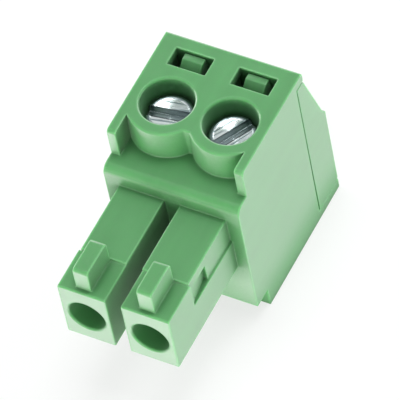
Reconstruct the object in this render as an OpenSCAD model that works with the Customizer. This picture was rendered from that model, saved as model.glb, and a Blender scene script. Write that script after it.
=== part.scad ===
// Two-pole pluggable terminal block with rising-cage screw clamps.
// The origin is the middle of the flat underside. The wires enter from +Y, the header's
// pins from -Y, and the screws are turned from above, along +Z. All sizes are in mm.

/* [Body] */
// Distance between the two poles
pitch = 3.5; // [3.4:0.05:4]
// Length from the finger tips to the wire face
body_l = 15.5; // [15.2:0.1:16.5]
// Height from the underside to the top plate
body_h = 11; // [10.9:0.1:12]
// Width of the clamp chamber of one pole
chamber_w = 2.9; // [2.85:0.05:3]
// Thickness of the outer side walls
side_wall = 0.55; // [0.45:0.05:0.7]

/* [Plug fingers] */
// Length of the fingers in front of the flange
finger_l = 6.5; // [6:0.1:7]
// Width of one finger
finger_w = 2.65; // [2.6:0.05:2.8]
// Height of one finger
finger_h = 3.85; // [3.8:0.05:4]
// Height of the fingers' underside above the foot
finger_z = 4.3; // [4.25:0.05:4.35]
// Diameter of the round hole that guides the header's pin
pin_hole_d = 2; // [1.9:0.05:2.2]
// Width of the coding rib on top of each finger
rib_w = 0.85; // [0.6:0.05:1.2]
// Height of the coding rib above the finger
rib_h = 1.3; // [0.8:0.1:1.6]

/* [Wire entries] */
// Width of one wire entry
entry_w = 2.75; // [2.5:0.05:2.8]
// Height of one wire entry at its mouth
entry_h = 4.35; // [4:0.05:4.5]

/* [Screws] */
// Diameter of the hole that the screwdriver goes into
screw_hole_d = 2.8; // [2.7:0.05:2.9]
// Diameter of the screw head
head_d = 2.6; // [2.3:0.05:2.65]
// Diameter of the screw's shank over its thread
shank_d = 1.9; // [1.7:0.05:1.95]
// Width of the slot in the screw head
slot_w = 0.6; // [0.4:0.05:0.7]
// Turn of the left screw's slot, seen from above
slot_turn_1 = 8; // [0:1:180]
// Turn of the right screw's slot, seen from above
slot_turn_2 = 60; // [0:1:180]

/* [Clamps] */
// Outer width of the clamp cage
cage_w = 2.74; // [2.7:0.02:2.78]
// Length of the clamp cage along the wire
cage_l = 3.3; // [3:0.1:3.4]
// Sheet thickness of the cage's side walls
cage_wall = 0.4; // [0.35:0.05:0.42]
// Sheet thickness of the contact
contact_t = 0.45; // [0.4:0.05:0.45]

/* [Hidden] */

$fn = 48;
// How far a cutting shape runs past the face it cuts
over = 0.2;

// Every y below is counted from the finger tips, and every z from the underside.
body_w = pitch + chamber_w + 2 * side_wall;
green = [0.36, 0.68, 0.42];

// Foot, flange and shelf at the plug side
foot_h = 1.25;
foot_y = finger_l + 1.1;
shelf_z = 9.2;
shelf_r = 0.5;
ear_y = finger_l + 1;
ear_r = 0.25;
ear_t = 0.5;

// Joint between the housing and the rear cover
seam_y = body_l - 2.15;
seam_gap = 0.07;
sill_h = 0.62;
lip_y = seam_y + 0.75;
lip_t = 0.54;
lip_r = 0.12;
roof_z = body_h - lip_t;

// Screw, head and the boss round it
screw_y = 10.2;
screw_hole_r = screw_hole_d / 2;
boss_top_r = screw_hole_r + 0.68;
boss_foot_r = boss_top_r + 0.06;
boss_web_y = 8.85;
seat_z = 9;
head_z = seat_z + 0.03;
head_h = 0.9;
head_edge = 0.12;
slot_depth = 0.5;
shank_clearance = 0.07;
rim_cut = 0.08;

// Clamp chamber
chamber_y = 8.3;
chamber_z = 0.9;
chamber_top = 8.05;

// Contact: its bar lies in the cage, and its spring leaves in the finger
bar_z = 4.15;
bar_w = 1.7;
bar_end_y = seam_y - 0.4;
web_z = 4.95;
pin_z = 6.1;
socket_y = 2;
socket_w = 1.8;
socket_z = web_z;
socket_top = 7.55;
shell_w = 1.66;
shell_top = 7.3;
leaf_t = 0.3;
leaf_h = 1.5;
leaf_front_y = 2.4;
leaf_grip_y = 3.1;
leaf_root_y = 5.2;
leaf_gap = 0.84;
leaf_mouth = 1;
bend_front_y = 7.5;
bend_rear_y = 8.4;

// Cage: a bent box with a tapped top plate. It rests fully open.
cage_y = screw_y - cage_l / 2;
cage_z = chamber_z + 0.03;
cage_floor_t = 0.5;
cage_top_t = 0.95;
cage_h = 4.85;
cage_r = 0.35;
tap_r = shank_d / 2 + 0.05;
groove_w = 0.3;
groove_depth = 0.15;

// Coding rib and the marks on the sides of the fingers
step_y = 2.35;
rib_y = 0.3;
rib_l = step_y - rib_y;
rib_r = 0.22;
step_h = 0.1;
panel_z = 6.45;
panel_depth = 0.12;
pocket_y = 2.6;
pocket_l = 1.4;
pocket_z = 6.45;
pocket_h = 1.1;
pocket_depth = 0.34;
finger_r = 0.1;

// Latch: a ramp on each tongue of the cover snaps into a window in the top plate
window_w = 2.1;
window_y = seam_y - 1.07;
tongue_w = 1.15;
tongue_y = seam_y - 1.15;
tongue_t = 0.65;
tongue_room_y = seam_y - 1.25;
tongue_room_z = 9.5;
tongue_room_w = 2.3;
ramp_top = body_h - 0.2;
ramp_flat_y = seam_y - 0.4;
ramp_foot_z = 10.2;

// Rear cover: the sloping back above the frame of the wire entries
cover_z = sill_h;
cover_top = roof_z - 0.08;
cover_edge = 0.18;
ledge_y = body_l - 0.22;
ledge_z = 6.4;
ledge_drop = 0.17;
slope_y = seam_y + 0.7;
slope_r = 0.08;
entry_z = 1.4;
entry_depth = 2.2;
throat_top = 3.85;
entry_lead = 0.13;
plug_y = seam_y - 1.05;
plug_gap = 0.05;
plug_top = 7.9;
gate_y = seam_y + 0.6;
gate_z = 6.45;
gate_dish_r = 0.44;
gate_r = 0.3;
gate_depth = 0.08;

function pole_x(n) = (n - 1.5) * pitch;

// Moves children from the frame of the finger tips to the part's own frame
module from_tips() {
    translate([0, -body_l / 2, 0]) children();
}

// Puts a copy of children at each pole
module each_pole() {
    for (n = [1, 2]) translate([pole_x(n), 0, 0]) children();
}

// Extrudes a side profile, drawn as (y, z), by width w about x = 0
module across(w) {
    rotate([90, 0, 90]) linear_extrude(w, center = true) children();
}

// Extrudes a front profile, drawn as (x, z), from y0 to y1
module along(y0, y1) {
    translate([0, y1, 0]) rotate([90, 0, 0]) linear_extrude(y1 - y0) children();
}

// A block of width w about x = 0, given by its y and z ranges
module bar(w, y0, y1, z0, z1) {
    translate([-w / 2, y0, z0]) cube([w, y1 - y0, z1 - z0]);
}

// What a rounding takes off a corner at the origin, with the material in +x, +y
module corner_cut(r) {
    difference() {
        translate([-over, -over]) square(r + over);
        translate([r, r]) circle(r);
    }
}

// ---------------------------------------------------------------- housing

// Side outline of the housing, without its fingers
module housing_outline() {
    difference() {
        polygon([
            [foot_y, 0], [body_l, 0], [body_l, sill_h], [seam_y, sill_h],
            [seam_y, roof_z], [lip_y, roof_z], [lip_y, body_h], [ear_y, body_h],
            [ear_y, shelf_z], [finger_l, shelf_z], [finger_l, foot_h], [foot_y, foot_h]
        ]);
        translate([finger_l, shelf_z]) mirror([0, 1]) corner_cut(shelf_r);
        translate([ear_y, body_h]) mirror([0, 1]) corner_cut(ear_r);
        translate([lip_y, body_h]) rotate(180) corner_cut(lip_r);
    }
}

// Opens the front of the top plate between the ears, down to the shelf,
// and leaves a half-round boss standing in front of each screw
module boss_front() {
    difference() {
        bar(body_w - 2 * ear_t, finger_l - over, boss_web_y, shelf_z, body_h + over);
        each_pole() translate([0, screw_y, shelf_z - over])
            cylinder(h = body_h - shelf_z + 2 * over, r1 = boss_foot_r, r2 = boss_top_r);
    }
}

// One finger with its coding rib, about x = 0
module finger() {
    across(finger_w) difference() {
        polygon([
            [0, finger_z], [finger_l + over, finger_z], [finger_l + over, finger_z + finger_h],
            [step_y, finger_z + finger_h], [step_y, finger_z + finger_h - step_h],
            [0, finger_z + finger_h - step_h]
        ]);
        translate([0, finger_z]) corner_cut(finger_r);
        translate([0, finger_z + finger_h - step_h]) mirror([0, 1]) corner_cut(finger_r);
    }
    across(rib_w) difference() {
        translate([rib_y, finger_z + finger_h - over * 2]) square([rib_l, rib_h + over * 2]);
        translate([rib_y, finger_z + finger_h + rib_h]) mirror([0, 1]) corner_cut(rib_r);
        translate([rib_y + rib_l, finger_z + finger_h + rib_h]) rotate(180) corner_cut(rib_r);
    }
}

// Recessed panel and ramped pocket on the outer side of a finger, which faces +x
module finger_side_marks() {
    face_x = finger_w / 2;
    translate([face_x - panel_depth, step_y, panel_z])
        cube([1, finger_l - step_y, finger_h]);
    translate([0, 0, pocket_z]) linear_extrude(pocket_h) polygon([
        [face_x + over, pocket_y], [face_x + over, pocket_y + pocket_l],
        [face_x - pocket_depth, pocket_y + pocket_l], [face_x - panel_depth - 0.03, pocket_y]
    ]);
}

// Everything that is hollow in one pole, about x = 0
module pole_cavity() {
    // hole for the header's pin, with a lead-in
    translate([0, -over, pin_z]) rotate([-90, 0, 0]) cylinder(h = socket_y + 2 * over, d = pin_hole_d);
    translate([0, -rim_cut, pin_z]) rotate([-90, 0, 0])
        cylinder(h = 2 * rim_cut, r1 = pin_hole_d / 2 + 2 * rim_cut, r2 = pin_hole_d / 2);
    // room for the contact's spring leaves, and its way down to the chamber
    bar(socket_w, socket_y, chamber_y + over, socket_z, socket_top);
    bar(socket_w, bend_front_y - over, chamber_y + over, bar_z - 0.1, socket_z + over);
    // chamber of the cage, open to the rear
    bar(chamber_w, chamber_y, seam_y + over, chamber_z, chamber_top);
    // screw: driver hole, seat for the head, hole for the shank
    translate([0, screw_y, seat_z]) cylinder(h = body_h, d = screw_hole_d);
    translate([0, screw_y, body_h - rim_cut])
        cylinder(h = 2 * rim_cut, r1 = screw_hole_r, r2 = screw_hole_r + 2 * rim_cut);
    translate([0, screw_y, chamber_top - over])
        cylinder(h = seat_z - chamber_top + 2 * over, r = shank_d / 2 + shank_clearance);
    // latch window and the room for the cover's tongue under it
    bar(window_w, window_y, seam_y, roof_z - over, body_h + over);
    bar(tongue_room_w, tongue_room_y, seam_y + over, tongue_room_z, roof_z);
}

module housing() {
    color(green) from_tips() difference() {
        union() {
            across(body_w) housing_outline();
            each_pole() finger();
        }
        boss_front();
        each_pole() pole_cavity();
        for (side = [0, 1]) mirror([side, 0, 0])
            translate([pitch / 2, 0, 0]) finger_side_marks();
    }
}

// ---------------------------------------------------------------- rear cover

// Side outline of the cover: a sloping back over the upright frame of the entries
module cover_outline() {
    front_y = seam_y + seam_gap;
    difference() {
        polygon([
            [front_y, cover_z], [body_l - cover_edge, cover_z], [body_l, cover_z + cover_edge],
            [body_l, ledge_z - ledge_drop], [ledge_y, ledge_z], [slope_y, cover_top], [front_y, cover_top]
        ]);
        translate([slope_y, cover_top]) rotate(180) corner_cut(slope_r);
    }
}

// Funnel of one wire entry: its roof falls towards the cage, its floor stays level
module entry_funnel() {
    mouth_top = entry_z + entry_h;
    rise = (mouth_top - throat_top) / entry_depth;
    across(entry_w) polygon([
        [plug_y - over, entry_z], [body_l + over, entry_z], [body_l + over, mouth_top + rise * over],
        [body_l - entry_depth, throat_top], [plug_y - over, throat_top]
    ]);
    // lead-in down both sides of the mouth
    translate([0, 0, entry_z]) linear_extrude(entry_h) polygon([
        [-entry_w / 2, body_l - entry_lead], [-entry_w / 2 - 2 * entry_lead, body_l + entry_lead],
        [entry_w / 2 + 2 * entry_lead, body_l + entry_lead], [entry_w / 2, body_l - entry_lead]
    ]);
}

// Latch tongue with its ramp, about x = 0
module latch_tongue() {
    across(tongue_w) polygon([
        [tongue_y, cover_top - tongue_t], [seam_y + 2 * seam_gap, cover_top - tongue_t],
        [seam_y + 2 * seam_gap, cover_top], [seam_y - 0.03, cover_top], [seam_y - 0.03, ramp_top],
        [ramp_flat_y, ramp_top], [tongue_y, ramp_foot_z]
    ]);
}

module rear_cover() {
    plug_w = chamber_w - 2 * plug_gap;
    color(green) from_tips() difference() {
        union() {
            across(body_w) cover_outline();
            each_pole() {
                latch_tongue();
                bar(plug_w, plug_y, seam_y + 2 * seam_gap, chamber_z + plug_gap, plug_top);
            }
        }
        each_pole() {
            entry_funnel();
            // slot that holds the end of the contact's bar
            bar(bar_w + 0.1, plug_y - over, bar_end_y + 0.1, bar_z - 0.05, bar_z + contact_t + 0.06);
        }
        // stub of the moulding gate, sunk in a dish on one side
        translate([-body_w / 2, gate_y, gate_z]) rotate([0, 90, 0]) difference() {
            cylinder(h = 2 * gate_depth, r = gate_dish_r, center = true);
            cylinder(h = 3 * gate_depth, r = gate_r, center = true);
        }
    }
}

// ---------------------------------------------------------------- clamp

// Slotted cheese-head screw of pole n. Its tip bears on the contact's bar.
module screw(n, slot_turn) {
    tip_z = bar_z + contact_t + 0.03;
    color([0.8, 0.81, 0.82]) from_tips() translate([pole_x(n), screw_y, 0]) difference() {
        union() {
            translate([0, 0, head_z]) cylinder(h = head_h - head_edge, d = head_d);
            translate([0, 0, head_z + head_h - head_edge])
                cylinder(h = head_edge, d1 = head_d, d2 = head_d - 2 * head_edge);
            translate([0, 0, tip_z + head_edge])
                cylinder(h = head_z - tip_z, d = shank_d);
            translate([0, 0, tip_z])
                cylinder(h = head_edge, d1 = shank_d - 2 * head_edge, d2 = shank_d);
        }
        rotate(slot_turn) translate([-head_d, -slot_w / 2, head_z + head_h - slot_depth])
            cube([2 * head_d, slot_w, slot_depth + over]);
    }
}

// Rounded rectangle, w wide and h high, standing on z = 0
module rounded_frame(w, h, r) {
    difference() {
        translate([-w / 2, 0]) square([w, h]);
        for (side = [0, 1]) mirror([side, 0]) {
            translate([-w / 2, 0]) corner_cut(r);
            translate([-w / 2, h]) mirror([0, 1]) corner_cut(r);
        }
    }
}

// Cage of pole n: the screw draws it up, and it presses the wire against the bar
module cage(n) {
    color([0.82, 0.78, 0.66]) from_tips() translate([pole_x(n), 0, cage_z]) difference() {
        along(cage_y, cage_y + cage_l) difference() {
            rounded_frame(cage_w, cage_h, cage_r);
            translate([0, cage_floor_t])
                rounded_frame(cage_w - 2 * cage_wall, cage_h - cage_floor_t - cage_top_t, 0.1);
        }
        translate([0, screw_y, cage_h - 2 * cage_top_t]) cylinder(h = 3 * cage_top_t, r = tap_r);
        // grip grooves across the floor
        for (i = [-1, 0, 1]) translate([0, screw_y + i * 0.8, cage_floor_t])
            across(cage_w - 2 * cage_wall - 0.3)
                polygon([[-groove_w / 2, 0.01], [groove_w / 2, 0.01], [0, -groove_depth]]);
    }
}

// ---------------------------------------------------------------- contact

// Plan outline of one spring leaf, on the +x side of the pin
module leaf_outline() {
    root_x = shell_w / 2;
    grip_x = leaf_gap / 2;
    mouth_x = leaf_mouth / 2;
    polygon([
        [root_x, leaf_root_y + over], [root_x, leaf_root_y], [grip_x + leaf_t, leaf_grip_y],
        [mouth_x + leaf_t, leaf_front_y], [mouth_x, leaf_front_y], [grip_x, leaf_grip_y],
        [root_x - leaf_t, leaf_root_y], [root_x - leaf_t, leaf_root_y + over]
    ]);
}

// Contact of pole n: two spring leaves on a U-shaped shell, and a bar that steps down
// from it and runs through the cage
module contact(n) {
    color([0.75, 0.73, 0.68]) from_tips() translate([pole_x(n), 0, 0]) {
        // bar, step and the floor of the shell, as one bent strip
        across(bar_w) polygon([
            [leaf_root_y, web_z], [bend_front_y, web_z], [bend_rear_y, bar_z], [bar_end_y, bar_z],
            [bar_end_y, bar_z + contact_t], [bend_rear_y + 0.15, bar_z + contact_t],
            [bend_front_y + 0.15, web_z + contact_t], [leaf_root_y, web_z + contact_t]
        ]);
        for (side = [0, 1]) mirror([side, 0, 0]) {
            // side wall of the shell
            translate([shell_w / 2 - leaf_t, leaf_root_y, web_z + contact_t - 0.05])
                cube([leaf_t, bend_front_y - leaf_root_y, shell_top - web_z - contact_t + 0.05]);
            // spring leaf
            translate([0, 0, pin_z - leaf_h / 2]) linear_extrude(leaf_h) leaf_outline();
        }
    }
}

housing();
rear_cover();
screw(1, slot_turn_1);  // screw_1
screw(2, slot_turn_2);  // screw_2
cage(1);  // cage_1
cage(2);  // cage_2
contact(1);  // contact_1
contact(2);  // contact_2
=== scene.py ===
from math import pi, radians

import bmesh
import bpy
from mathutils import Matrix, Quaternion, Vector


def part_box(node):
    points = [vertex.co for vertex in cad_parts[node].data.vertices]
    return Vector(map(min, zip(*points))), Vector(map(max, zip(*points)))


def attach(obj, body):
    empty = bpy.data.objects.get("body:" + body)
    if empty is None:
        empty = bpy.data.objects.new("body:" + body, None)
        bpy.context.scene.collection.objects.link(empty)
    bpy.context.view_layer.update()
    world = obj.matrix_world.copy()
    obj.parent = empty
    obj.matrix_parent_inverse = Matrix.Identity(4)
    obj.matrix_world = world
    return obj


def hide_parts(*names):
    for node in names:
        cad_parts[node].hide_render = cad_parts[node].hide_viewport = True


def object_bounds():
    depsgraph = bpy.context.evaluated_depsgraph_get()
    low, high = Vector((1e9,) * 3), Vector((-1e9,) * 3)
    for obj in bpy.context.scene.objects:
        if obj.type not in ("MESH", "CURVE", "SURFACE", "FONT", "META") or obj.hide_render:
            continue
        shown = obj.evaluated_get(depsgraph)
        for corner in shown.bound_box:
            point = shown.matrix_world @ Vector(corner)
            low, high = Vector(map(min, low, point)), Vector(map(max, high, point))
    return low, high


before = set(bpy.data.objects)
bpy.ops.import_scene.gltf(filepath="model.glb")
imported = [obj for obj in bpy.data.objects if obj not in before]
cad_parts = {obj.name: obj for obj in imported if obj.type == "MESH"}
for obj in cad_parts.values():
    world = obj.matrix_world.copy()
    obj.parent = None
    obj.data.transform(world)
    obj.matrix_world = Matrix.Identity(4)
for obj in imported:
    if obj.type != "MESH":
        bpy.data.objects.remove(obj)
cad_low, cad_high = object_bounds()


# ---------------------------------------------------------------- housing
# One moulding in green polyamide: two plug fingers with coding ribs, the clamp chambers, and
# the top plate with its driver holes and latch windows. The mould leaves small radii on
# every edge, a fine grain on the skin, and shallow marks on the left side and underneath.
mm = 0.001
weld = 0.0002 * mm
green = (0.084, 0.285, 0.1, 1)
# painted highlight: the colour that outer edges are painted
edge_highlight_green = (0.3, 0.6, 0.32, 1)
# painted shade: the colour that recesses and inner corners are painted
recess_shade_green = (0.06, 0.24, 0.075, 1)
pole_x = 1.75 * mm
driver_hole_y = 2.45 * mm
moulded_edge_r = 0.045 * mm
boss_rim_r = 0.14 * mm
mark_depth = 0.06 * mm
side_mark_y = 3.65 * mm
side_mark_z = 9.43 * mm
side_mark_l = 0.7 * mm
side_mark_w = 0.22 * mm
side_mark_tilt = radians(52)
ejector_mark_r = 0.7 * mm
ejector_mark_y = 3.2 * mm


def only(piece):
    """Selects one piece alone and makes it the active one."""
    bpy.ops.object.select_all(action="DESELECT")
    piece.select_set(True)
    bpy.context.view_layer.objects.active = piece


def solid_copy(node, name):
    """A joined-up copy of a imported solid, ready to be worked on."""
    piece = bpy.data.objects.new(name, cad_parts[node].data.copy())
    bpy.context.scene.collection.objects.link(piece)
    piece.data.materials.clear()
    only(piece)
    bpy.ops.mesh.customdata_custom_splitnormals_clear()
    bpy.ops.object.mode_set(mode="EDIT")
    bpy.ops.mesh.select_all(action="SELECT")
    bpy.ops.mesh.remove_doubles(threshold=weld)
    bpy.ops.mesh.dissolve_limited(angle_limit=radians(0.4))
    bpy.ops.object.mode_set(mode="OBJECT")
    return piece


def cut_away(piece, cutter):
    """Takes the cutter's shape out of the piece."""
    only(piece)
    cut = piece.modifiers.new("cut", "BOOLEAN")
    cut.operation = "DIFFERENCE"
    cut.solver = "EXACT"
    cut.object = cutter
    bpy.ops.object.modifier_apply(modifier=cut.name)
    bpy.data.objects.remove(cutter)


def flat_round(face, normals):
    """The faces that lie in one flat with this face, itself included, as far as are needed."""
    same_way, enough = 0.9999, 60
    flat, waiting = {face}, [face]
    while waiting:
        for side in waiting.pop().edges:
            for other in side.link_faces:
                level = normals[other].dot(normals[face]) > same_way
                if level and other not in flat and len(flat) < enough:
                    flat.add(other)
                    waiting.append(other)
    return flat


def round_edges(piece, radius_at, segments=3):
    """Rounds every sharp edge, by less where the faces beside it leave too little room.
    radius_at gives the radius of an edge from its middle."""
    sharp = radians(24)
    largest = 0.25 * mm
    least = 0.012 * mm
    room_per_radius = 2.3
    shape = bmesh.new()
    shape.from_mesh(piece.data)
    weight = shape.edges.layers.float.new("bevel_weight_edge")
    normals = {face: face.normal.copy() for face in shape.faces}
    for edge in shape.edges:
        if len(edge.link_faces) != 2 or edge.calc_face_angle() < sharp:
            continue
        wanted = radius_at((edge.verts[0].co + edge.verts[1].co) / 2)
        foot = edge.verts[0].co
        along = (edge.verts[1].co - foot).normalized()
        rooms = []
        for face in edge.link_faces:
            # how far the flat beside the edge reaches, and how far its sharp borders that
            # start at the edge's ends lead away from it
            flat, reach = flat_round(face, normals), 0
            for part in flat:
                for corner in part.verts:
                    off = corner.co - foot
                    reach = max(reach, (off - off.dot(along) * along).length)
                for border in part.edges:
                    touching = border != edge and set(border.verts) & set(edge.verts)
                    if not touching or border.calc_face_angle(0) < sharp:
                        continue
                    run = border.verts[1].co - border.verts[0].co
                    across = (run - run.dot(along) * along).length
                    if across > 0.5 * run.length:
                        rooms.append(across)
            rooms.append(reach)
        radius = min(wanted, min(rooms) / room_per_radius)
        edge[weight] = radius / largest if radius > least else 0
    shape.to_mesh(piece.data)
    shape.free()
    only(piece)
    bevel = piece.modifiers.new("rounding", "BEVEL")
    bevel.limit_method = "WEIGHT"
    bevel.width = largest
    bevel.segments = segments
    bevel.use_clamp_overlap = False
    bpy.ops.object.modifier_apply(modifier=bevel.name)
    bpy.ops.object.shade_smooth_by_angle(angle=radians(30))
    even = piece.modifiers.new("even flats", "WEIGHTED_NORMAL")
    even.keep_sharp = True
    even.weight = 100
    bpy.ops.object.modifier_apply(modifier=even.name)


def new_group(name, inputs, outputs):
    """An empty node group with the given sockets, and its input and output nodes."""
    group = bpy.data.node_groups.new(name, "ShaderNodeTree")
    for label, kind in inputs.items():
        group.interface.new_socket(label, in_out="INPUT", socket_type="NodeSocket" + kind)
    for label, kind in outputs.items():
        group.interface.new_socket(label, in_out="OUTPUT", socket_type="NodeSocket" + kind)
    return group, group.nodes.new("NodeGroupInput"), group.nodes.new("NodeGroupOutput")


def add_node(tree, kind, values=None, **settings):
    """A shader node with its settings, and plain values or links on its inputs."""
    node = tree.nodes.new("ShaderNode" + kind)
    for key, value in settings.items():
        setattr(node, key, value)
    for key, value in (values or {}).items():
        if isinstance(value, bpy.types.NodeSocket):
            tree.links.new(value, node.inputs[key])
        else:
            node.inputs[key].default_value = value
    return node


def maths(tree, operation, *values):
    """The result of an operation on one to three values."""
    return add_node(tree, "Math", dict(enumerate(values)), operation=operation).outputs[0]


def remap(tree, value, from_low, from_high, to_low, to_high):
    """The value with its range stretched to another one, and held at both ends."""
    return add_node(tree, "MapRange", {"Value": value, "From Min": from_low, "From Max": from_high,
                                       "To Min": to_low, "To Max": to_high}).outputs[0]


def scaled(tree, colour, factor):
    """A colour made brighter or darker by a factor."""
    return add_node(tree, "VectorMath", {0: colour, "Scale": factor}, operation="SCALE").outputs[0]


def mixed(tree, share, first, second):
    """The first colour, with this share of the second in it."""
    return add_node(tree, "Mix", {"Factor": share, 6: first, 7: second}, data_type="RGBA").outputs[2]


def openness(tree, distance):
    """How much of what is round a place is free, as far as this distance."""
    return add_node(tree, "AmbientOcclusion", {"Distance": distance}, samples=8).outputs["AO"]


def noise(tree, place, scale, detail, roughness=0.5):
    """Soft random spots."""
    return add_node(tree, "TexNoise", {"Vector": place, "Scale": scale, "Detail": detail,
                                       "Roughness": roughness}).outputs["Fac"]


# Skin of a moulding: slow drifts in tone from the melt's flow, a fine grain, a painted highlight on
# the outer edges, and painted shade with less gloss in the recesses. Its scales are counts per metre.
flow_scale = 320
streak_scale = (1400, 240, 1400)
grain_scale = 9500
grain_height = 0.012 * mm
recess_reach = 3.2 * mm
corner_reach = 0.9 * mm
edge_highlight_r = 0.18 * mm
skin, given, made = new_group(
    "moulded_skin",
    {"Colour": "Color", "Edge Highlight Colour": "Color", "Recess Shade Colour": "Color", "Grain": "Float"},
    {"Colour": "Color", "Roughness": "Float", "Normal": "Vector", "Gloss Mask": "Float"},
)
place = add_node(skin, "TexCoord").outputs["Object"]
drift = noise(skin, place, flow_scale, 3, 0.55)
streak_place = add_node(skin, "Mapping", {"Vector": place, "Scale": streak_scale}).outputs["Vector"]
streak = noise(skin, streak_place, 1, 2)
tone = remap(skin, maths(skin, "ADD", drift, streak), 0.7, 1.3, 0.94, 1.06)
toned = scaled(skin, given.outputs["Colour"], tone)
# painted shade: recesses are painted a deeper colour, and inner corners darker still
free = remap(skin, openness(skin, recess_reach), 0.46, 0.92, 0, 1)
recess_shaded = mixed(skin, free, given.outputs["Recess Shade Colour"], toned)
off_corner = remap(skin, openness(skin, corner_reach), 0.45, 0.85, 0, 1)
shaded = scaled(skin, recess_shaded, remap(skin, off_corner, 0, 1, 0.68, 1))
# painted highlight: outer edges are painted paler, and are duller, where a rounding would turn the surface
eased = add_node(skin, "Bevel", {"Radius": edge_highlight_r}, samples=8)
surface = add_node(skin, "NewGeometry")
level = add_node(skin, "VectorMath", {0: eased.outputs["Normal"], 1: surface.outputs["Normal"]},
                 operation="DOT_PRODUCT").outputs["Value"]
painted_edge_highlight = maths(skin, "MULTIPLY", remap(skin, level, 0.999, 0.9, 0, 0.5), off_corner)
edged = mixed(skin, painted_edge_highlight, shaded, given.outputs["Edge Highlight Colour"])
# gloss shows on the open faces alone
shine = maths(skin, "MULTIPLY", maths(skin, "POWER", free, 2), off_corner)
shine = maths(skin, "MULTIPLY", shine, remap(skin, level, 0.998, 0.94, 1, 0.2))
relief = add_node(skin, "Bump", {"Strength": given.outputs["Grain"], "Distance": grain_height,
                                 "Height": noise(skin, place, grain_scale, 2, 0.6)})
satin = remap(skin, drift, 0.3, 0.7, 0.40, 0.47)
for label, value in (("Colour", edged), ("Roughness", satin), ("Normal", relief.outputs["Normal"]),
                     ("Gloss Mask", shine)):
    skin.links.new(value, made.inputs[label])


def moulded_plastic(name, colour, edge_highlight_colour, recess_shade_colour, grain_depth):
    """Satin polyamide with the moulded skin on it."""
    material = bpy.data.materials.new(name)
    material.use_nodes = True
    tree = material.node_tree
    finish = add_node(tree, "Group", node_tree=skin)
    for label, value in (("Colour", colour), ("Edge Highlight Colour", edge_highlight_colour), ("Recess Shade Colour", recess_shade_colour),
                         ("Grain", grain_depth)):
        finish.inputs[label].default_value = value
    shader = tree.nodes["Principled BSDF"]
    for label, socket in (("Colour", "Base Color"), ("Roughness", "Roughness"), ("Normal", "Normal")):
        tree.links.new(finish.outputs[label], shader.inputs[socket])
    # gloss by how far the skin turns from the eye: none face on, full at about half way,
    # and little towards the outline
    graze = add_node(tree, "LayerWeight", {"Blend": 0.5})
    gloss = add_node(tree, "ValToRGB", {"Fac": graze.outputs["Facing"]})
    stops = gloss.color_ramp.elements
    stops[0].position, stops[0].color = 0.22, (0, 0, 0, 1)
    stops[1].position, stops[1].color = 0.84, (0.15, 0.15, 0.15, 1)
    for turned_away, weight in ((0.5, 1), (0.54, 1), (0.62, 0.5), (0.68, 0.5)):
        stops.new(turned_away).color = (weight, weight, weight, 1)
    coat = maths(tree, "MULTIPLY", gloss.outputs["Color"], finish.outputs["Gloss Mask"])
    tree.links.new(coat, shader.inputs["Coat Weight"])
    for socket, value in (("Coat IOR", 4.6), ("Coat Roughness", 0.45), ("IOR", 1.5),
                          ("Specular IOR Level", 0.35), ("Sheen Weight", 0.12), ("Sheen Roughness", 0.5),
                          ("Subsurface Weight", 0.5), ("Subsurface Radius", (0.3, 1, 0.35)),
                          ("Subsurface Scale", 0.6 * mm)):
        shader.inputs[socket].default_value = value
    return material


def housing_radius_at(middle):
    """Softer on the front rims of the round bosses, sharp where the mould's cores met."""
    # in mm: x from the part's middle to either side, y towards the wires, z up from the floor
    x, y, z = abs(middle.x) / mm, middle.y / mm, middle.z / mm
    under_roof = abs(z - 10.46) < 0.02 and y > 4
    pin_hole_end = -5.9 < y < -5.4 and z < 8
    ear_inside = 3.1 < x < 3.3 and y > -0.2 and z > 10
    if under_roof or pin_hole_end or ear_inside:
        return 0
    off_hole = Vector((abs(middle.x) - pole_x, middle.y - driver_hole_y)).length / mm
    boss_front = z > 10.99 and y < 1.15 and x < 3.1 and off_hole > 1.9
    return boss_rim_r if boss_front else moulded_edge_r


housing_shell = solid_copy("housing", "housing_shell")
shell_low, shell_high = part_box("housing")

# Shallow slanting mark high on the left side
bpy.ops.mesh.primitive_cube_add(size=1, location=(shell_low.x, side_mark_y, side_mark_z),
                                rotation=(side_mark_tilt, 0, 0))
mark = bpy.context.object
mark.scale = (2 * mark_depth, side_mark_l, side_mark_w)
cut_away(housing_shell, mark)

# Two round ejector marks in the underside
for side in (-1, 1):
    bpy.ops.mesh.primitive_cylinder_add(vertices=40, radius=ejector_mark_r, depth=2 * mark_depth,
                                        location=(side * pole_x, ejector_mark_y, shell_low.z))
    cut_away(housing_shell, bpy.context.object)

round_edges(housing_shell, housing_radius_at)
housing_shell.data.materials.append(
    moulded_plastic("green_polyamide", green, edge_highlight_green, recess_shade_green, grain_depth=0.35))
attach(housing_shell, "block")
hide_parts("housing")


# ---------------------------------------------------------------- rear cover
# A second moulding in the same green, pressed into the back of the housing. It carries the
# wire funnels, and its two latch ramps stand in the windows of the top plate. The edges that
# lie inside the housing stay sharp.
hidden_up_to_y = 4.57 * mm
cover_shell = solid_copy("rear_cover", "rear_cover_shell")
round_edges(cover_shell, lambda middle: moulded_edge_r if middle.y > hidden_up_to_y else 0)
cover_shell.data.materials.append(
    moulded_plastic("green_cover_polyamide", green, edge_highlight_green, recess_shade_green, grain_depth=0.4))
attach(cover_shell, "block")
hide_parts("rear_cover")


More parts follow.
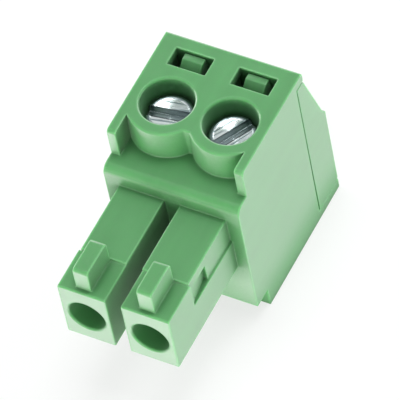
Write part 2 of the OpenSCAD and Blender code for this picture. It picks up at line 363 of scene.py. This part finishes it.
# ---------------------------------------------------------------- clamp screws
# Turned M2 screws in steel with bright zinc plating: a slotted cheese head with a rounded rim
# and a shallow dish, and a right-hand thread of 0.4 mm pitch down to the tip.
screw_low, screw_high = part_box("screw_1")
head_r = (screw_high.x - screw_low.x) / 2
head_h = 0.9 * mm
head_rim_r = 0.2 * mm
dish_edge = 0.1 * mm
dish_slope = 0.06 * mm
dish_depth = 0.03 * mm
core_r = 0.8 * mm
tip_edge = 0.1 * mm
turned_edge_r = 0.03 * mm
crest_r = 0.94 * mm
ridge_r = 0.19 * mm
thread_pitch = 0.4 * mm
thread_turns = 9
thread_start = 0.3 * mm
slot_w = 0.6 * mm
slot_depth = 0.5 * mm
# radius of a darker ring near the rim of the head
dark_ring_r = 1.08 * mm
zinc = (0.56, 0.62, 0.62, 1)
zinc_stain = (0.11, 0.17, 0.18, 1)
# painted shade, for the slots and corners
zinc_slot_shade = (0.28, 0.34, 0.35, 1)


def pick_faces(piece, wanted):
    """Selects the faces that the test wants. The piece is in edit mode."""
    bpy.ops.mesh.select_mode(type="FACE")
    bpy.ops.mesh.select_all(action="DESELECT")
    shape = bmesh.from_edit_mesh(piece.data)
    for face in shape.faces:
        if wanted(face):
            face.select_set(True)
    bmesh.update_edit_mesh(piece.data)


# The head's blank, then its rim and dish, the shank drawn down from its underside, and the slot
bpy.ops.object.select_all(action="DESELECT")
bpy.ops.mesh.primitive_cylinder_add(vertices=96, radius=head_r, depth=head_h,
                                    location=(0, 0, screw_high.z - head_h / 2))
screw_blank = bpy.context.object
bpy.ops.object.transform_apply(location=True)
bpy.ops.object.mode_set(mode="EDIT")
pick_faces(screw_blank, lambda face: face.normal.z > 0.9)
bpy.ops.mesh.bevel(offset=head_rim_r, segments=6, affect="EDGES")
# the one large face inside the rim
pick_faces(screw_blank, lambda face: face.normal.z > 0.99 and len(face.verts) > 50)
bpy.ops.mesh.inset(thickness=dish_edge, depth=0)
bpy.ops.mesh.inset(thickness=dish_slope, depth=-dish_depth)
pick_faces(screw_blank, lambda face: face.normal.z < -0.9)
bpy.ops.mesh.inset(thickness=head_r - core_r, depth=0)
bpy.ops.mesh.extrude_region_move(
    TRANSFORM_OT_translate={"value": (0, 0, screw_low.z - (screw_high.z - head_h))})
bpy.ops.mesh.bevel(offset=tip_edge, segments=2, affect="EDGES")
bpy.ops.object.mode_set(mode="OBJECT")
bpy.ops.mesh.primitive_cube_add(size=1, location=(0, 0, screw_high.z))
slot = bpy.context.object
slot.scale = (4 * head_r, slot_w, 2 * slot_depth)
cut_away(screw_blank, slot)
round_edges(screw_blank, lambda middle: turned_edge_r, segments=2)

# The thread: a three-sided ridge wound up the shank
bpy.ops.object.select_all(action="DESELECT")
bpy.ops.mesh.primitive_circle_add(vertices=3, radius=ridge_r, rotation=(pi / 2, pi / 2, 0),
                                  location=(crest_r - ridge_r, 0, screw_low.z + thread_start))
thread = bpy.context.object
bpy.ops.object.transform_apply(location=True, rotation=True)
winding = thread.modifiers.new("winding", "SCREW")
winding.axis = "Z"
winding.angle = 2 * pi
winding.screw_offset = thread_pitch
winding.iterations = thread_turns
winding.steps = winding.render_steps = 36
bpy.ops.object.modifier_apply(modifier=winding.name)
bpy.ops.object.mode_set(mode="EDIT")
bpy.ops.mesh.select_all(action="SELECT")
bpy.ops.mesh.remove_doubles(threshold=weld)
bpy.ops.mesh.fill_holes(sides=3)
bpy.ops.mesh.normals_make_consistent(inside=False)
bpy.ops.object.mode_set(mode="OBJECT")
thread.select_set(True)
screw_blank.select_set(True)
bpy.context.view_layer.objects.active = screw_blank
bpy.ops.object.join()
bpy.ops.object.shade_smooth_by_angle(angle=radians(30))

# Turned metal: fine rings round an axis, scratches along one direction, a darker ring near the rim, a little
# staining, and painted shade in slots and corners. Its scales are counts per metre.
ring_scale = 5200
ring_height = 0.006 * mm
scratch_size = (1.8 * mm, 0.13 * mm, 1.1 * mm)
blotch_scale = 900
slot_reach = 0.5 * mm
turned, given, made = new_group(
    "turned_metal",
    {"Colour": "Color", "Stain Colour": "Color", "Slot Shade Colour": "Color", "Axis": "Vector",
     "Scratch Turn": "Vector", "Ring Depth": "Float", "Dark Ring Radius": "Float"},
    {"Colour": "Color", "Roughness": "Float", "Normal": "Vector"},
)
place = add_node(turned, "TexCoord").outputs["Object"]
centred = add_node(turned, "VectorMath", {0: place, 1: given.outputs["Axis"]},
                   operation="SUBTRACT").outputs[0]
rings = add_node(turned, "TexWave", {"Vector": centred, "Scale": ring_scale, "Distortion": 0.6, "Detail": 1},
                 wave_type="RINGS", rings_direction="Z")
scratch_place = add_node(turned, "Mapping",
                         {"Vector": centred, "Rotation": given.outputs["Scratch Turn"],
                          "Scale": scratch_size}, vector_type="TEXTURE")
scratches = noise(turned, scratch_place.outputs["Vector"], 1, 2)
marks = maths(turned, "MULTIPLY_ADD", scratches, 0.8, rings.outputs["Fac"])
relief = add_node(turned, "Bump", {"Strength": given.outputs["Ring Depth"], "Distance": ring_height,
                                   "Height": marks})
flat_off = add_node(turned, "VectorMath", {0: centred, 1: (1, 1, 0)}, operation="MULTIPLY").outputs[0]
off_axis = add_node(turned, "VectorMath", {0: flat_off}, operation="LENGTH").outputs["Value"]
from_ring = maths(turned, "ABSOLUTE", maths(turned, "SUBTRACT", off_axis, given.outputs["Dark Ring Radius"]))
blotch = noise(turned, centred, blotch_scale, 4)
# stained where there are blotches and along the scratches, and darker in a ring near the rim
stain = maths(turned, "MAXIMUM", remap(turned, blotch, 0.5, 0.75, 0, 0.5),
              remap(turned, from_ring, 0.13 * mm, 0.03 * mm, 0, 0.85))
stain = maths(turned, "MAXIMUM", stain, remap(turned, scratches, 0.47, 0.64, 0, 0.85))
stained = mixed(turned, stain, given.outputs["Colour"], given.outputs["Stain Colour"])
# painted shade: slots and corners within reach take the darker colour
free = remap(turned, openness(turned, slot_reach), 0.4, 0.95, 0, 1)
slot_shaded = mixed(turned, free, given.outputs["Slot Shade Colour"], stained)
polish = remap(turned, blotch, 0.3, 0.7, 0.12, 0.24)
for label, value in (("Colour", slot_shaded), ("Roughness", polish), ("Normal", relief.outputs["Normal"])):
    turned.links.new(value, made.inputs[label])


def plated_metal(name, colours, axis, ring_depth, scratch_turn=0, dark_ring_radius=-1):
    """Plated metal with the turned finish on it. Its colours are clean, stained, and painted shade for slots
    and corners.
    """
    material = bpy.data.materials.new(name)
    material.use_nodes = True
    tree = material.node_tree
    finish = add_node(tree, "Group", node_tree=turned)
    for label, value in (("Colour", colours[0]), ("Stain Colour", colours[1]), ("Slot Shade Colour", colours[2]),
                         ("Axis", axis), ("Scratch Turn", (0, 0, radians(scratch_turn))),
                         ("Ring Depth", ring_depth), ("Dark Ring Radius", dark_ring_radius)):
        finish.inputs[label].default_value = value
    shader = tree.nodes["Principled BSDF"]
    for label, socket in (("Colour", "Base Color"), ("Roughness", "Roughness"), ("Normal", "Normal")):
        tree.links.new(finish.outputs[label], shader.inputs[socket])
    shader.inputs["Metallic"].default_value = 1
    return material


for node, body, slot_turn in (("screw_1", "first_screw", 8), ("screw_2", "second_screw", 60)):
    low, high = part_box(node)
    axis = ((low.x + high.x) / 2, (low.y + high.y) / 2, 0)
    screw = bpy.data.objects.new(node + "_turned", screw_blank.data.copy())
    bpy.context.scene.collection.objects.link(screw)
    screw.location = axis
    screw.rotation_euler.z = radians(slot_turn)
    only(screw)
    bpy.ops.object.transform_apply(location=True, rotation=True)
    screw.data.materials.append(
        plated_metal(node + "_zinc", (zinc, zinc_stain, zinc_slot_shade), axis, ring_depth=0.5,
                     scratch_turn=slot_turn, dark_ring_radius=dark_ring_r))
    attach(screw, body)
    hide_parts(node)
bpy.data.objects.remove(screw_blank)


# ---------------------------------------------------------------- lifting cages
# Brass boxes, bent from strip and nickel plated. Each has a tapped top plate and a grooved
# floor, and its screw draws it up to press the wire against the contact's bar.
cage_edge_r = 0.04 * mm
# clean, stained, and painted shade for the corners
nickel = ((0.66, 0.60, 0.48, 1), (0.42, 0.35, 0.24, 1), (0.14, 0.11, 0.07, 1))
for node, body in (("cage_1", "first_cage"), ("cage_2", "second_cage")):
    low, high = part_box(node)
    cage = solid_copy(node, node + "_bent")
    round_edges(cage, lambda middle: cage_edge_r, segments=2)
    cage.data.materials.append(
        plated_metal(node + "_nickel", nickel, tuple((low + high) / 2), ring_depth=0.25))
    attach(cage, body)
    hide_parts(node)


# ---------------------------------------------------------------- contacts
# Pressed from tin-plated copper alloy strip: a flat bar for the wire, and two spring leaves
# in the finger that grip the header's pin.
contact_edge_r = 0.03 * mm
# clean, stained, and painted shade for the corners
tin = ((0.72, 0.71, 0.68, 1), (0.48, 0.45, 0.40, 1), (0.15, 0.14, 0.12, 1))
for node in ("contact_1", "contact_2"):
    low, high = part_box(node)
    contact = solid_copy(node, node + "_pressed")
    round_edges(contact, lambda middle: contact_edge_r, segments=2)
    contact.data.materials.append(
        plated_metal(node + "_tin", tin, tuple((low + high) / 2), ring_depth=0.15))
    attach(contact, "block")
    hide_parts(node)


# ---------------------------------------------------------------- floor
# A plain pale sheet of paper that the part stands on. It shows near white, and keeps the
# part's soft shadow.
floor_w = 3
floor_gap = 0.005 * mm
paper_glow = 0.7


def looked_at(tree):
    """1 where a surface is seen, directly, in a reflection or through something clear."""
    ray = add_node(tree, "LightPath").outputs
    seen = maths(tree, "MAXIMUM", ray["Is Camera Ray"], ray["Is Glossy Ray"])
    return maths(tree, "MAXIMUM", seen, ray["Is Transmission Ray"])


bpy.ops.object.select_all(action="DESELECT")
bpy.ops.mesh.primitive_plane_add(size=floor_w, location=(0, 0, cad_low.z - floor_gap))
floor = bpy.context.object
floor.name = "floor"
paper = bpy.data.materials.new("pale_sheet")
paper.use_nodes = True
tree = paper.node_tree
sheet = tree.nodes["Principled BSDF"]
sheet.inputs["Base Color"].default_value = (0.88, 0.88, 0.88, 1)
sheet.inputs["Roughness"].default_value = 0.9
sheet.inputs["Specular IOR Level"].default_value = 0.1
glow = add_node(tree, "Emission", {"Color": (1, 1, 1, 1), "Strength": 1})
share = maths(tree, "MULTIPLY", looked_at(tree), paper_glow)
blend = add_node(tree, "MixShader", {0: share, 1: sheet.outputs[0], 2: glow.outputs[0]})
tree.links.new(blend.outputs[0], tree.nodes["Material Output"].inputs["Surface"])
floor.data.materials.append(paper)


# ---------------------------------------------------------------- studio
# A white tent round the part, with five soft lamps: low ones in front and at the right, one
# overhead, and weaker ones behind and at the left.
scene = bpy.context.scene
scene.view_settings.view_transform = "Standard"
tent = bpy.data.worlds.new("tent")
tent.use_nodes = True
scene.world = tent
tree = tent.node_tree
ambient = tree.nodes["Background"]
ambient.inputs["Color"].default_value = (0.96, 1, 0.98, 1)
ambient.inputs["Strength"].default_value = 0.42
white = add_node(tree, "Background", {"Color": (1, 1, 1, 1), "Strength": 1})
blend = add_node(tree, "MixShader", {0: looked_at(tree), 1: ambient.outputs[0], 2: white.outputs[0]})
tree.links.new(blend.outputs[0], tree.nodes["World Output"].inputs["Surface"])

# name, place from the part's middle, size, watts and colour, in metres
lamps = (
    ("front_lamp", (0.03, -0.29, 0.03), (0.30, 0.06), 0.98, (1, 0.98, 0.94)),
    ("right_lamp", (0.27, 0.10, 0.015), (0.20, 0.05), 0.4, (0.94, 0.98, 1)),
    ("overhead_lamp", (0, 0.05, 0.29), (0.15, 0.15), 0.46, (0.98, 1, 1)),
    ("back_lamp", (0.12, 0.22, 0.16), (0.15, 0.12), 0.25, (0.98, 1, 1)),
    ("left_lamp", (-0.27, 0.05, 0.12), (0.15, 0.10), 0.28, (1, 1, 1)),
)
part_middle = Vector((0, 1, 5.5)) * mm
for name, offset, size, watts, colour in lamps:
    bpy.ops.object.light_add(type="AREA", location=part_middle + Vector(offset))
    lamp = bpy.context.object
    lamp.name = name
    lamp.data.shape = "RECTANGLE"
    lamp.data.size, lamp.data.size_y = size
    lamp.data.energy = watts
    lamp.data.color = colour
    lamp.rotation_euler = (-Vector(offset)).to_track_quat("-Z", "Y").to_euler()
    lamp.visible_camera = False


# ---------------------------------------------------------------- camera
# A long lens, 30 cm off, high at the front right of the part. It is rolled a little, so that
# the part leans in the view.
bpy.ops.object.camera_add()
camera = bpy.context.object
scene.camera = camera
stand = Vector((107.15, -142.81, 239.72)) * mm
sight = (part_middle - stand).to_track_quat("-Z", "Y")
roll = Quaternion((0, 0, 1), radians(-12.5))
camera.location = stand
camera.rotation_euler = (sight @ roll).to_euler()
camera.data.sensor_width = 36
camera.data.lens = 537
camera.data.clip_start = 0.01
camera.data.clip_end = 10
